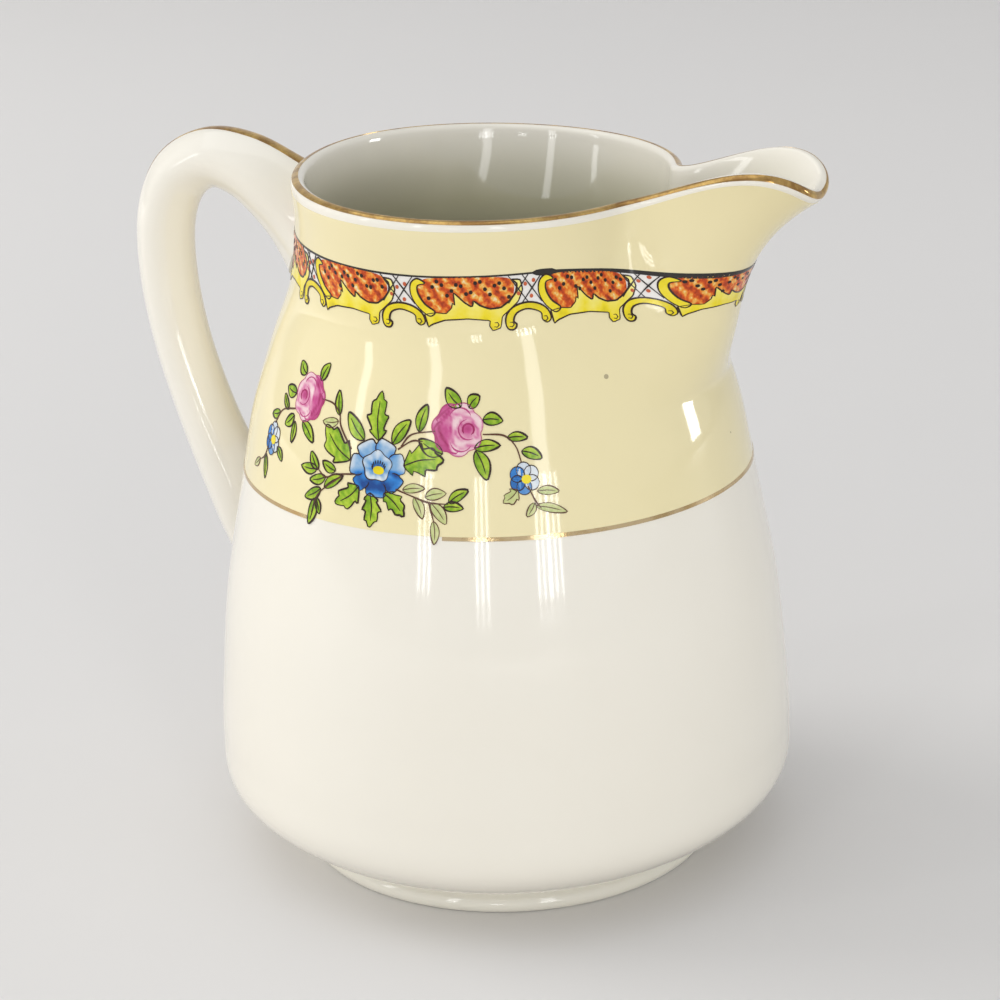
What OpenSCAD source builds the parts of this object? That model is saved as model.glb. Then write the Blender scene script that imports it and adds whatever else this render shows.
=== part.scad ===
// Porcelain cream jug: pear-shaped body on a foot ring, pulled pouring lip, ear-shaped handle,
// and the fired layers of decoration, each as its own thin solid.
// The foot stands on Z = 0, the lip points along +X and the handle along -X.

/* [Body] */
// Height of the mouth's edge above the table
mouth_h = 98.4; // [96:0.2:104]
// Widest radius of the belly
belly_r = 42.4; // [38:0.2:48]
// Radius of the shoulder where the cream ground ends
shoulder_r = 36.7; // [33:0.1:40]
// Mean radius of the neck at its narrowest
neck_r = 28.4; // [26:0.1:31]
// How much wider than deep the mouth is, as a radius
mouth_oval = 2.8; // [0:0.1:3.2]
// Thickness of the porcelain wall
wall = 2.6; // [2.2:0.1:3.6]
// Thickness of the wall at the mouth's edge
edge_wall = 1.9; // [1.5:0.1:2.2]
// Height of the foot ring under the base
foot_h = 3.4; // [2.4:0.1:5]
// Outer radius of the foot ring
foot_r = 31.0; // [29:0.1:32]

/* [Lip] */
// How far the pouring lip stands out from the mouth
lip_reach = 21.6; // [14:0.2:24]
// Half angle of the lip at the mouth, in degrees
lip_angle = 18.5; // [14:0.5:22]
// Height at which the lip starts to leave the body
lip_start = 72; // [60:1:80]
// Rise of the lip's two side walls above the mouth
lip_rise = 4.1; // [2:0.1:6]

/* [Handle] */
// Half width of the handle across the jug
handle_half_w = 4.6; // [3.5:0.1:6]
// Half thickness of the handle in the plane of its loop
handle_half_t = 4.2; // [3.5:0.1:5.5]

/* [Decoration] */
// Thickness of one fired layer
layer = 0.12; // [0.08:0.01:0.2]
// Width of the gold line at the lower edge of the cream ground
gold_line_w = 0.6; // [0.5:0.1:1.5]
// Half width of a flower spray round the body, in degrees
spray_half_angle = 46; // [30:1:55]
// Half height of a flower spray
spray_half_h = 12.5; // [9:0.5:14]

/* [Hidden] */

around = 56;        // points round the body
crowding = 34;      // degrees by which those points are drawn towards the lip
steps = 2;          // rings per stretch of the outline
hair = 0.02;        // step for a numerical tangent
ring_fn = 96;

// Outline of the body as [radius, height], from the foot to the mouth.
outline = [
    [foot_r - 1.4, foot_h],
    [0.857 * belly_r, foot_h + 2.8],
    [0.985 * belly_r, foot_h + 8.1],
    [belly_r, foot_h + 15.4],
    [0.983 * belly_r, 29],
    [0.955 * belly_r, 40],
    [shoulder_r + 1.9, 50],
    [shoulder_r, 59],
    [shoulder_r - 1.9, 68],
    [neck_r + 3.4, 77],
    [neck_r + 0.5, 85],
    [neck_r, 92.4],
    [neck_r + 0.4, mouth_h]
];
last = len(outline) - 1;
shoulder_t = 7;     // outline position of the gold line
border_z = 85;      // height of the border's lower edge
border_dip = 2;     // how far that edge drops under the lip
neck_z = 92.5;      // height of the dark neck line
neck_dip = 3.5;     // how far the line drops under the lip
neck_line_w = 0.6;
stretch = 7.4;      // height of one stretch of the outline at the neck
level_half = 58;    // angle from the lip within which a level line dips
back_from = 80;     // angle from the lip beyond which it climbs, by back_climb at the handle
back_climb = 2;
thin_t = 10;        // outline position where the wall starts to thin
crest_h = 0.9;      // height of the rounding on the mouth's edge
crest_at = 13.5;    // angle of the lip's crests from its middle, and their spread
crest_spread = 7.5;
lip_foot = 26;      // half angle of the lip where it starts, and how square its plan gets
lip_square = 3.45;
white_edge = 0.2;   // share of an outline stretch left white under the gold edge
gap = 0.02;         // clearance between one layer and the next
spray_at = 94;      // angle of each flower spray from the lip

function smooth(x) = let (c = min(max(x, 0), 1)) c * c * (3 - 2 * c);
function blend(a, b, u) = a + (b - a) * u;
function catmull(p, q, r, s, u) =
    0.5 * (2 * q + (r - p) * u + (2 * p - 5 * q + 4 * r - s) * u * u + (3 * q - p - 3 * r + s) * u * u * u);
function along(points, i) =
    i < 0 ? 2 * points[0] - points[1]
    : i > len(points) - 1 ? 2 * points[len(points) - 1] - points[len(points) - 2]
    : points[i];
function spline(points, t) =
    let (i = min(max(floor(t), 0), len(points) - 2))
    catmull(along(points, i - 1), along(points, i), along(points, i + 1), along(points, i + 2), t - i);

// Lip: a lobe in plan that widens in angle and flattens at its tip as it nears the mouth.
function off_lip(a) = let (b = a - 360 * floor(a / 360)) min(b, 360 - b);
function lip_out(a, z) =
    let (t = (z - lip_start) / (mouth_h - lip_start))
    t <= 0 ? 0
    : let (grow = 0.8 * t * t / (t + 0.03) + 0.223 * pow(t, 5),
           half = blend(lip_foot, lip_angle, smooth(t)),
           power = blend(2, lip_square, smooth(t)))
      lip_reach * grow * exp(-pow(off_lip(a) / half, power));

// Mouth edge: two crests beside the lip, a low tip, and a slight rise towards the handle.
function edge_lift(a) =
    lip_rise * exp(-pow((off_lip(a) - crest_at) / crest_spread, 2))
    + 0.34 * (1 - cos(a)) + 0.53 * pow(1 - cos(a), 2);

// Outer skin at angle a round the body and position t along the outline.
function skin(a, t) =
    let (p = spline(outline, t),
         near_mouth = smooth((p[1] - 80) / (mouth_h - 80)),
         r = p[0] - mouth_oval * cos(2 * a) * near_mouth + lip_out(a, p[1]))
    [r * cos(a), r * sin(a), p[1] + edge_lift(a) * near_mouth];
function unit(v) = v / norm(v);
function outward(a, t) =
    unit(cross(skin(a + hair, t) - skin(a - hair, t), skin(a, min(t + hair, last)) - skin(a, t - hair)));
function lifted(a, t, d) = skin(a, t) + d * outward(a, t);
function wall_at(t) = blend(wall, edge_wall, smooth((t - thin_t) / (last - thin_t)));
function step_angle(k) = 360 * k / around - crowding * sin(360 * k / around);
function ring(t, d) = [for (k = [0 : around - 1]) lifted(step_angle(k), is_list(t) ? t[k] : t, d)];
// Outline positions of a level line round the body, which drops by dip under the lip.
function nearer(a, z, t) = t - (skin(a, t)[2] - z) / stretch;
function level(z, dip) =
    [for (k = [0 : around - 1])
        let (a = step_angle(k),
             there = z - dip * smooth(1 - off_lip(a) / level_half)
                 + back_climb * smooth((off_lip(a) - back_from) / (180 - back_from)))
        nearer(a, there, nearer(a, there, nearer(a, there, 10.5)))];
function evenly(t) = [for (k = [0 : around - 1]) t];
function crest(d) =
    [for (k = [0 : around - 1])
        let (a = step_angle(k))
        lifted(a, last, -edge_wall / 2) + [0, 0, crest_h + d]];

function flat(lists) = [for (l = lists) for (x = l) x];
// Side faces between successive rings of n points, with the outside on the left of the ring order.
// From ring `back` on, the faces split along the other diagonal, so two sides of a thin layer stay parallel.
function sides(rings, n, joined, back) =
    [for (i = [0 : rings - (joined ? 1 : 2)]) for (k = [0 : n - 1])
        let (a = i * n + k, b = i * n + (k + 1) % n, c = ((i + 1) % rings) * n + (k + 1) % n,
             d = ((i + 1) % rings) * n + k)
        each i < back ? [[a, c, b], [a, d, c]] : [[a, d, b], [b, d, c]]];

// A closed band: its rings run once round the band's own section, and turn back half way.
module band(rings) {
    polyhedron(points = flat(rings), faces = sides(len(rings), len(rings[0]), true, len(rings) / 2));
}

// A thin layer on the skin between two lists of outline positions.
module film(low, high, inner, outer) {
    count = max(1, round((high[0] - low[0]) * steps));
    up = [for (i = [0 : count]) ring(blend(low, high, i / count), outer)];
    down = [for (i = [count : -1 : 0]) ring(blend(low, high, i / count), inner)];
    band(concat(up, down));
}

module vessel() {
    outside = [for (i = [0 : last * steps]) ring(i / steps, 0)];
    inside = [for (i = [last : -1 : 1]) ring(i, -wall_at(i))];
    rings = concat(outside, [crest(0)], inside);
    n = len(rings) * around;
    caps = [[for (k = [0 : around - 1]) k], [for (k = [around - 1 : -1 : 0]) n - around + k]];
    color("white")
        polyhedron(points = flat(rings), faces = concat(sides(len(rings), around, false, len(rings)), caps));
}

module foot_ring() {
    color("whitesmoke")
        rotate_extrude($fn = ring_fn)
            polygon([[foot_r - 3.6, foot_h], [foot_r - 3.2, 0.7], [foot_r - 2.6, 0], [foot_r - 0.7, 0],
                     [foot_r - 0.1, 0.5], [foot_r, 1.2], [foot_r - 0.5, 2.3], [foot_r - 1.4, foot_h]]);
}

// Handle: centre line as [x, z], then half thickness and half width, from the neck to the belly.
route = [
    [-27.2, 90.6, 7.2, 5.4],
    [-32.4, 94.6, 5.8, handle_half_w + 0.3],
    [-38.6, 98.4, 4.8, handle_half_w],
    [-44.6, 99.4, handle_half_t, handle_half_w],
    [-50.0, 96.4, handle_half_t, handle_half_w],
    [-52.9, 90.0, handle_half_t, handle_half_w],
    [-53.2, 81.0, handle_half_t, handle_half_w],
    [-51.6, 71.0, handle_half_t, handle_half_w],
    [-48.4, 60.6, handle_half_t + 0.2, handle_half_w],
    [-44.6, 51.2, 4.8, handle_half_w + 0.1],
    [-42.2, 43.4, 4.6, handle_half_w + 0.2],
    [-40.4, 36.6, 4.2, handle_half_w + 0.4]
];
stations = 30;
section_n = 16;
// Radius of the body at height z on the handle's side.
function body_radius(z, i = 0) =
    i >= last * 4 ? -skin(180, last)[0]
    : skin(180, (i + 1) / 4)[2] >= z
        ? let (p = skin(180, i / 4), q = skin(180, (i + 1) / 4))
          blend(-p[0], -q[0], (z - p[2]) / (q[2] - p[2]))
        : body_radius(z, i + 1);
// Point on the body, d outside its skin, at offset y across the jug.
function on_body(y, z, d) = let (r = body_radius(z) + d) [-sqrt(r * r - y * y), y, z];
function handle_frame(s) =
    let (t = s * (len(route) - 1),
         p = spline(route, t),
         e = spline(route, min(t + 0.05, len(route) - 1)) - spline(route, max(t - 0.05, 0)),
         run = unit([e[0], e[1]]))
    [p, run];
// Point of the section at s along the handle and angle g, lifted by d.
function handle_point(s, g, d) =
    let (f = handle_frame(s), p = f[0], run = f[1],
         out = [run[1], -run[0]],
         u = (p[2] + d) * cos(g) * (-1), w = (p[3] + d) * sin(g))
    [p[0] + out[0] * u, w, p[1] + out[1] * u];
function handle_ring(i) =
    [for (k = [0 : section_n - 1])
        let (g = 360 * k / section_n, p = handle_point(i / stations, g, 0))
        i == 0 ? on_body(p[1], p[2], layer)
        : i == stations ? on_body(p[1], p[2], 0)
        : clear_of_body(p)];
function clear_of_body(p) =
    let (r = body_radius(p[2]) + 2 * layer, here = norm([p[0], p[1]]))
    here < r ? [p[0] * r / here, p[1] * r / here, p[2]] : p;

module handle() {
    rings = [for (i = [0 : stations]) handle_ring(i)];
    n = len(rings) * section_n;
    first = spline(route, 0);
    final = spline(route, len(route) - 1);
    ends = [on_body(0, first[1], layer), on_body(0, final[1], 0)];
    caps = concat([for (k = [0 : section_n - 1]) [n, k, (k + 1) % section_n]],
                  [for (k = [0 : section_n - 1])
                      [n + 1, n - section_n + (k + 1) % section_n, n - section_n + k]]);
    color("white")
        polyhedron(points = concat(flat(rings), ends),
                   faces = concat(sides(len(rings), section_n, false, len(rings)), caps));
}

module cream_ground() {
    color("cornsilk") {
        film(evenly(shoulder_t), level(border_z, border_dip), 0, layer);
        film(level(neck_z, neck_dip), evenly(last - white_edge), 0, layer);
    }
}

module ground_line() {
    color("goldenrod") film(evenly(shoulder_t - gold_line_w / 9), evenly(shoulder_t - gap / 2), 0, layer);
}

module border_print() {
    color("indianred")
        film(level(border_z + 4 * gap, border_dip), level(neck_z - 4 * gap, neck_dip), 0, layer);
}

module neck_line() {
    color("black")
        film(level(neck_z - neck_line_w / 2, neck_dip), level(neck_z + neck_line_w / 2, neck_dip),
             layer + gap, 2 * layer);
}

module rim_gilding() {
    low = last - 0.9 * white_edge;
    rings = [ring(low, layer), ring(last, layer), crest(layer), ring(last, -edge_wall - layer),
             ring(last, -edge_wall), crest(0), ring(last, 0), ring(low, 0)];
    color("gold") band(rings);
}

// Gold stroke along the back of the handle, from the neck over the top of the loop.
module handle_gilding() {
    strokes = 22;
    from = 0.07;
    to = 0.46;
    half = 20;
    back = 180;
    rings = [for (i = [0 : strokes])
        let (s = blend(from, to, i / strokes), g = half * (1 - 0.6 * i / strokes))
        concat([for (turn = [-g, 0, g]) handle_point(s, back + turn, gap)],
               [for (turn = [g, 0, -g]) handle_point(s, back + turn, gap + layer)])];
    n = 6 * len(rings);
    color("gold")
        polyhedron(points = flat(rings),
                   faces = concat(sides(len(rings), 6, false, len(rings)),
                                  [[0, 1, 2, 3, 4, 5], [for (k = [1 : 6]) n - k]]));
}

// A flower spray's print: an oval patch on the skin, centred at angle a.
// Its rings run from the middle of the underside out to the edge and back in over the top.
spray_middle = 8.35;     // outline position of the patch's centre
mm_per_step = 9;         // height of one stretch of the outline there
spray_loops = 6;
spray_spokes = 36;
function patch_point(a, i, k, d) =
    let (g = 360 * k / spray_spokes, far = i / spray_loops)
    lifted(a + spray_half_angle * far * cos(g),
           spray_middle + spray_half_h / mm_per_step * far * sin(g), d);
function patch_ring(a, i, d) = [for (k = [0 : spray_spokes - 1]) patch_point(a, i, k, d)];
module spray(a) {
    low = layer + 3 * gap;
    high = low + layer;
    rings = concat([for (i = [1 : spray_loops]) patch_ring(a, i, low)],
                   [for (i = [spray_loops : -1 : 1]) patch_ring(a, i, high)]);
    n = len(rings) * spray_spokes;
    caps = [for (k = [0 : spray_spokes - 1])
        let (next = (k + 1) % spray_spokes)
        each [[n, k, next], [n + 1, n - spray_spokes + next, n - spray_spokes + k]]];
    color("hotpink")
        polyhedron(points = concat(flat(rings), [patch_point(a, 0, 0, low), patch_point(a, 0, 0, high)]),
                   faces = concat(sides(len(rings), spray_spokes, false, spray_loops), caps));
}

module front_spray() {
    spray(-spray_at);
}

module back_spray() {
    spray(spray_at);
}

vessel();
foot_ring();
handle();
cream_ground();
ground_line();
border_print();
neck_line();
rim_gilding();
handle_gilding();
front_spray();
back_spray();
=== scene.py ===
# %% [markdown]
# # A porcelain cream jug
# The jug is a thin shell of white porcelain with a pulled lip and a stuck-on handle. Everything else is
# a coloured layer fired on top of it: a cream ground, a printed border, flower prints and gold. The clay
# is made as smooth lofted surfaces from a few formulas, and every layer is laid on the same formulas,
# so the layers follow the curve of the clay exactly.

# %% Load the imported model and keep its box
import math
import bpy
import numpy as np
from mathutils import Matrix, Vector
from mathutils.geometry import delaunay_2d_cdt


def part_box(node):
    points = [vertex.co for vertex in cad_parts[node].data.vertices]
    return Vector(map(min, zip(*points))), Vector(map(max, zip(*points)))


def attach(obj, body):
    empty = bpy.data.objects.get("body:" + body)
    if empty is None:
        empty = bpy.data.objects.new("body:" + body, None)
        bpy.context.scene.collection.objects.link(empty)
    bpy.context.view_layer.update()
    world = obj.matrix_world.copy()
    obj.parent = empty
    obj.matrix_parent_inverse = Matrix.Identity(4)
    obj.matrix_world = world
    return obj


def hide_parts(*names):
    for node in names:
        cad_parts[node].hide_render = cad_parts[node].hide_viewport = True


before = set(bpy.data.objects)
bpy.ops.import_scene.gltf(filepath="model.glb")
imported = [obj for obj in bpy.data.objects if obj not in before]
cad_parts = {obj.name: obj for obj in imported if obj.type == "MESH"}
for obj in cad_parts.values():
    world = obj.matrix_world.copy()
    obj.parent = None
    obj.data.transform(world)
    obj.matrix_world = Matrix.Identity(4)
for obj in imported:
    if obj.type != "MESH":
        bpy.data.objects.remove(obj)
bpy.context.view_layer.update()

MM = 0.001

# %% [markdown]
# ## The jug's outline
# A potter thinks of a jug as one outline turned on the wheel, then pulled out at the lip. The outline
# here is a smooth curve through thirteen points, as radius and height in millimetres. The same few
# sizes drive the solid model, so both agree.

# %% Sizes and the outline
foot_low, foot_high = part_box("foot_ring")
foot_r = foot_high[0] / MM
foot_h = foot_high[2] / MM
belly_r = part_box("vessel")[1][1] / MM
shoulder_r, neck_r, mouth_h, mouth_oval = 36.7, 28.4, 98.4, 2.8
wall, edge_wall = 2.6, 1.9
lip_reach, lip_angle, lip_start, lip_rise = 21.6, 18.5, 72.0, 4.1
OUTLINE = np.array([
    [foot_r - 1.4, foot_h], [0.857 * belly_r, foot_h + 2.8], [0.985 * belly_r, foot_h + 8.1],
    [belly_r, foot_h + 15.4], [0.983 * belly_r, 29], [0.955 * belly_r, 40], [shoulder_r + 1.9, 50],
    [shoulder_r, 59], [shoulder_r - 1.9, 68], [neck_r + 3.4, 77], [neck_r + 0.5, 85], [neck_r, 92.4],
    [neck_r + 0.4, mouth_h]])
LAST = len(OUTLINE) - 1
SHOULDER_T, THIN_T = 7, 10
BORDER_Z, NECK_Z = 85.0, 92.5
print("foot", round(foot_r, 2), "mm, belly", round(belly_r, 2), "mm")


def spline(points, t):
    """Smooth curve through points, at t in steps of one point."""
    t = np.asarray(t, float)
    padded = np.vstack([2 * points[0] - points[1], points, 2 * points[-1] - points[-2]])
    i = np.clip(np.floor(t).astype(int), 0, len(points) - 2)
    u = (t - i)[..., None]
    p, q, r, s = padded[i], padded[i + 1], padded[i + 2], padded[i + 3]
    return 0.5 * (2 * q + (r - p) * u + (2 * p - 5 * q + 4 * r - s) * u**2 + (3 * q - p - 3 * r + s) * u**3)


def ease(x):
    c = np.clip(x, 0, 1)
    return c * c * (3 - 2 * c)


# %% [markdown]
# ## The skin of the clay
# `skin(a, t)` gives the point at angle a round the jug and position t along the outline. The lip is a
# lobe added to the radius, and the mouth's edge rises in two crests beside it. `lifted` moves a point
# off the skin along its normal, which is all that a fired layer needs.

# %% The skin as a formula
def skin(a, t):
    a, t = np.broadcast_arrays(np.asarray(a, float), np.asarray(t, float))
    p = spline(OUTLINE, t)
    near_mouth = ease((p[..., 1] - 80) / (mouth_h - 80))
    off_lip = np.abs((a + 180) % 360 - 180)
    up = np.clip((p[..., 1] - lip_start) / (mouth_h - lip_start), 0, None)
    grow = 0.8 * up * up / (up + 0.03) + 0.223 * up**5
    half = 26 + (lip_angle - 26) * ease(up)
    lip = lip_reach * grow * np.exp(-((off_lip / half) ** (2 + 1.45 * ease(up))))
    turn = np.radians(a)
    r = p[..., 0] - mouth_oval * np.cos(2 * turn) * near_mouth + lip
    crest = lip_rise * np.exp(-(((off_lip - 13.5) / 7.5) ** 2))
    back = 0.34 * (1 - np.cos(turn)) + 0.53 * (1 - np.cos(turn)) ** 2
    return np.stack([r * np.cos(turn), r * np.sin(turn), p[..., 1] + (crest + back) * near_mouth], -1)


def unit(v):
    return v / np.linalg.norm(v, axis=-1, keepdims=True)


def upward(a, t, hair=0.01):
    return unit(skin(a, np.minimum(t + hair, LAST)) - skin(a, np.asarray(t) - hair))


def outward(a, t, hair=0.01):
    return unit(np.cross(skin(a + hair, t) - skin(a - hair, t), upward(a, t)))


def lifted(a, t, d):
    a, t = np.broadcast_arrays(np.asarray(a, float), np.asarray(t, float))
    d = np.asarray(d, float)
    return skin(a, t) + outward(a, t) * (d[..., None] if d.ndim else d)


def position_at(a, z):
    """Outline position at which the skin, at angle a, is z high."""
    a, z = np.broadcast_arrays(np.asarray(a, float), np.asarray(z, float))
    t = np.interp(z, HEIGHT_Z, HEIGHT_T)
    for _ in range(6):
        t = np.interp(spline(OUTLINE, t)[..., 1] - (skin(a, t)[..., 2] - z), HEIGHT_Z, HEIGHT_T)
    return t


def sag(a, z):
    """A print line meant to be level sinks under the lip and climbs a little at the back."""
    off_lip = np.abs((np.asarray(a) + 180) % 360 - 180)
    share = np.clip((z - 79) / 13.5, 0, 1)
    return z - 3.5 * share * ease(1 - off_lip / 58) + 2 * share * ease((off_lip - 80) / 100)


HEIGHT_T = np.linspace(0, LAST, 1201)
HEIGHT_Z = spline(OUTLINE, HEIGHT_T)[:, 1]
AROUND = 320
step = np.arange(AROUND) * 360 / AROUND
ANGLES = step - 34 * np.sin(np.radians(step))
print("points round the jug:", AROUND, "closest", round(float(ANGLES[1] - ANGLES[0]), 2), "degrees apart")

# %% [markdown]
# ## From points to pieces
# A piece is a list of points in millimetres and a list of faces. Each one rides on the jug's only body,
# and may carry a `tone` for each point, from 0 to 1, which its finish turns into light and dark colour.

# %% Piece maker and ring faces
def make_piece(name, points, faces, finish, tones=None, sharp=38):
    mesh = bpy.data.meshes.new(name)
    mesh.from_pydata((np.asarray(points) * MM).tolist(), [], [list(map(int, f)) for f in faces])
    mesh.update()
    mesh.polygons.foreach_set("use_smooth", [True] * len(mesh.polygons))
    mesh.set_sharp_from_angle(angle=math.radians(sharp))
    if tones is not None:
        layer = mesh.attributes.new("tone", "FLOAT", "POINT")
        layer.data.foreach_set("value", np.asarray(tones, np.float32))
    mesh.materials.append(finish)
    piece = bpy.data.objects.new(name, mesh)
    bpy.context.scene.collection.objects.link(piece)
    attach(piece, "root")
    print(name, len(mesh.vertices), "points")
    return piece


def ring_faces(rings, n, joined=False, open_ring=False):
    """Quads between successive rings of n points; joined closes the last ring onto the first."""
    faces = []
    for i in range(rings if joined else rings - 1):
        j = (i + 1) % rings
        for k in range(n - 1 if open_ring else n):
            m = (k + 1) % n
            faces.append((i * n + k, i * n + m, j * n + m, j * n + k))
    return faces


def loft(name, rings, finish, joined=False, ends=None, sharp=38, tones=None):
    """A surface through rings; ends gives a closing point before the first and after the last ring."""
    n = len(rings[0])
    points = [p for ring in rings for p in ring]
    faces = ring_faces(len(rings), n, joined)
    if ends is not None:
        first, final = len(points), len(points) + 1
        points += list(ends)
        base = (len(rings) - 1) * n
        faces += [(first, (k + 1) % n, k) for k in range(n)]
        faces += [(final, base + k, base + (k + 1) % n) for k in range(n)]
    return make_piece(name, points, faces, finish, tones, sharp)


# %% [markdown]
# ## Writing finishes as sums
# A finish is a small network of shader nodes. `Wire` wraps one socket, so that `1 - mask` or
# `noise * 0.3 + 0.5` adds the Math nodes by itself. `Finish` holds the Principled shader: a fixed number
# or colour goes straight on its socket, and only what varies over the surface is linked.

# %% Wire and Finish
class Wire:
    def __init__(self, finish, socket):
        self.finish = finish
        self.socket = socket

    def _math(self, operation, first, second=None):
        values = {0: first} if second is None else {0: first, 1: second}
        return self.finish.node("ShaderNodeMath", {"operation": operation}, values)

    def __add__(self, other):
        return self._math("ADD", self, other)

    def __sub__(self, other):
        return self._math("SUBTRACT", self, other)

    def __rsub__(self, other):
        return self._math("SUBTRACT", other, self)

    def __mul__(self, other):
        return self._math("MULTIPLY", self, other)

    def above(self, other):
        return self._math("GREATER_THAN", self, other)

    __radd__ = __add__
    __rmul__ = __mul__


class Finish:
    def __init__(self, name):
        self.material = bpy.data.materials.new(name)
        self.material.use_nodes = True
        self.tree = self.material.node_tree
        self.shader = self.tree.nodes["Principled BSDF"]

    def node(self, kind, settings=None, inputs=None, out=0):
        made = self.tree.nodes.new(kind)
        for key, value in (settings or {}).items():
            if key == "stops":
                self._stops(made.color_ramp, value)
            else:
                setattr(made, key, value)
        for key, value in (inputs or {}).items():
            self.feed(made.inputs[key], value)
        return Wire(self, made.outputs[out])

    def _stops(self, ramp, stops):
        while len(ramp.elements) < len(stops):
            ramp.elements.new(0.5)
        for element, (place, colour) in zip(ramp.elements, stops):
            element.position = place
            element.color = (*colour, 1)

    def feed(self, socket, value):
        if isinstance(value, Wire):
            self.tree.links.new(value.socket, socket)
        elif isinstance(value, tuple) and len(value) == 3 and len(socket.default_value) == 4:
            socket.default_value = (*value, 1)
        else:
            socket.default_value = value

    def set(self, **values):
        for key, value in values.items():
            self.feed(self.shader.inputs[key.replace("_", " ")], value)
        return self

    def place(self):
        return self.node("ShaderNodeTexCoord", out="Object")

    def noise(self, scale, detail=3.0, roughness=0.5):
        return self.node("ShaderNodeTexNoise", {},
                         {"Vector": self.place(), "Scale": scale, "Detail": detail, "Roughness": roughness})

    def mix(self, share, low, high):
        made = self.tree.nodes.new("ShaderNodeMix")
        made.data_type = "RGBA"
        for socket, value in zip((made.inputs[0], made.inputs[6], made.inputs[7]), (share, low, high)):
            self.feed(socket, value)
        return Wire(self, made.outputs[2])

    def bump(self, height, distance, strength=1.0):
        return self.node("ShaderNodeBump", {}, {"Height": height, "Distance": distance, "Strength": strength})


# %% [markdown]
# ## Glaze, cream ground and enamels
# Porcelain glaze is a clear glass coat over white clay, so it is nearly white, very smooth and reflects
# sharply. Its surface is never perfectly even: a slow ripple bends the reflections, and a few dark
# specks of iron sit in it.

# %% Glazed clay
def glaze(name, colour, shade, speck=0.0, ripple=0.00006, inside=None):
    f = Finish(name)
    cloud = f.noise(28.0, 4.0)
    tint = f.mix(cloud, colour, shade)
    if inside:
        # Down inside the jug the glaze is mixed towards the inside colour, which is painted shade for its dim
        # interior.
        tint = f.mix(f.node("ShaderNodeAttribute", {"attribute_name": "tone"}, out="Fac"), tint, inside)
    if speck:
        dots = f.node("ShaderNodeTexVoronoi", {"feature": "F1"}, {"Vector": f.place(), "Scale": 60.0})
        tint = f.mix((1 - dots * 1.0).above(1 - speck) * 0.6, tint, (0.16, 0.12, 0.08))
    f.set(Base_Color=tint, Roughness=f.noise(90.0) * 0.05 + 0.045, IOR=1.52,
          Normal=f.bump(f.noise(55.0, 2.0), ripple))
    f.set(Coat_Weight=0.25, Coat_Roughness=0.03)
    return f.material


# The shell's grey-green inside colour is painted shade down inside the jug, not a colour of its glaze.
shell_glaze = glaze("shell_glaze", (0.81, 0.775, 0.69), (0.78, 0.735, 0.635), 0.022,
                    inside=(0.5, 0.475, 0.33))
handle_glaze = glaze("handle_glaze", (0.81, 0.775, 0.69), (0.78, 0.74, 0.65))
foot_glaze = glaze("foot_glaze", (0.78, 0.75, 0.67), (0.7, 0.67, 0.57))
cream_glaze = glaze("cream_ground_glaze", (0.81, 0.72, 0.435), (0.77, 0.675, 0.39), speck=0.02)
print("glazes made")


# %% [markdown]
# An enamel is painted colour fired onto the glaze. Its colour runs from thin to thick paint, so a ramp
# turns each point's tone into colour, and a little fine noise breaks it up like a printed stipple.

# %% Enamels and gold
def enamel(name, stops, grain=0.14, scale=900.0, gloss=0.13):
    f = Finish(name)
    tone = f.node("ShaderNodeAttribute", {"attribute_name": "tone"}, out="Fac")
    mottled = tone + (f.noise(scale, 2.0) - 0.5) * (2 * grain)
    colour = f.node("ShaderNodeValToRGB", {"stops": stops}, {"Fac": mottled})
    f.set(Base_Color=colour, Roughness=f.noise(400.0) * 0.08 + gloss,
          Normal=f.bump(f.noise(scale, 2.0), 0.00001))
    f.set(Specular_IOR_Level=0.35)
    return f.material


def gilding(name, colour, worn, wear=0.45):
    f = Finish(name)
    rubbed = f.node("ShaderNodeValToRGB", {"stops": [(wear, (1, 1, 1)), (wear + 0.25, (0, 0, 0))]},
                    {"Fac": f.noise(230.0, 5.0, 0.65)})
    f.set(Base_Color=f.mix(rubbed, colour, worn), Metallic=1 - rubbed * 0.35,
          Roughness=f.noise(500.0) * 0.12 + 0.07, Normal=f.bump(f.noise(700.0), 0.00002))
    return f.material


green = enamel("leaf_green", [(0.0, (0.04, 0.12, 0.006)), (0.4, (0.2, 0.37, 0.015)),
                              (0.7, (0.4, 0.54, 0.04)), (1.0, (0.6, 0.66, 0.13))],
               0.34, 1100.0)
pale_green = enamel("pale_leaf_green", [(0.0, (0.3, 0.4, 0.1)), (0.6, (0.55, 0.58, 0.25)),
                                        (1.0, (0.72, 0.68, 0.4))],
                    0.3, 1100.0)
blue = enamel("petal_blue", [(0.0, (0.012, 0.06, 0.24)), (0.3, (0.03, 0.2, 0.56)),
                             (0.6, (0.2, 0.37, 0.58)), (1.0, (0.66, 0.7, 0.72))],
              0.16, 1200.0)
pink = enamel("petal_pink", [(0.0, (0.3, 0.015, 0.09)), (0.35, (0.52, 0.08, 0.25)),
                             (0.65, (0.66, 0.28, 0.41)), (1.0, (0.82, 0.66, 0.64))],
              0.16, 1100.0)
yellow = enamel("scroll_yellow", [(0.0, (0.42, 0.32, 0.006)), (0.45, (0.8, 0.65, 0.016)),
                                  (1.0, (0.86, 0.78, 0.24))],
                0.25, 700.0)
orange = enamel("cartouche_orange", [(0.0, (0.2, 0.02, 0.005)), (0.38, (0.56, 0.07, 0.008)),
                                     (0.58, (0.74, 0.19, 0.018)), (0.8, (0.78, 0.43, 0.08)),
                                     (1.0, (0.8, 0.66, 0.4))],
                0.75, 1500.0)
outline_ink = enamel("outline_brown", [(0.0, (0.012, 0.008, 0.006)), (1.0, (0.06, 0.025, 0.015))])
stem_ink = enamel("stem_brown", [(0.0, (0.05, 0.018, 0.01)), (1.0, (0.18, 0.08, 0.045))])
black_ink = enamel("lattice_black", [(0.0, (0.012, 0.011, 0.01)), (1.0, (0.06, 0.05, 0.045))])
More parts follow.
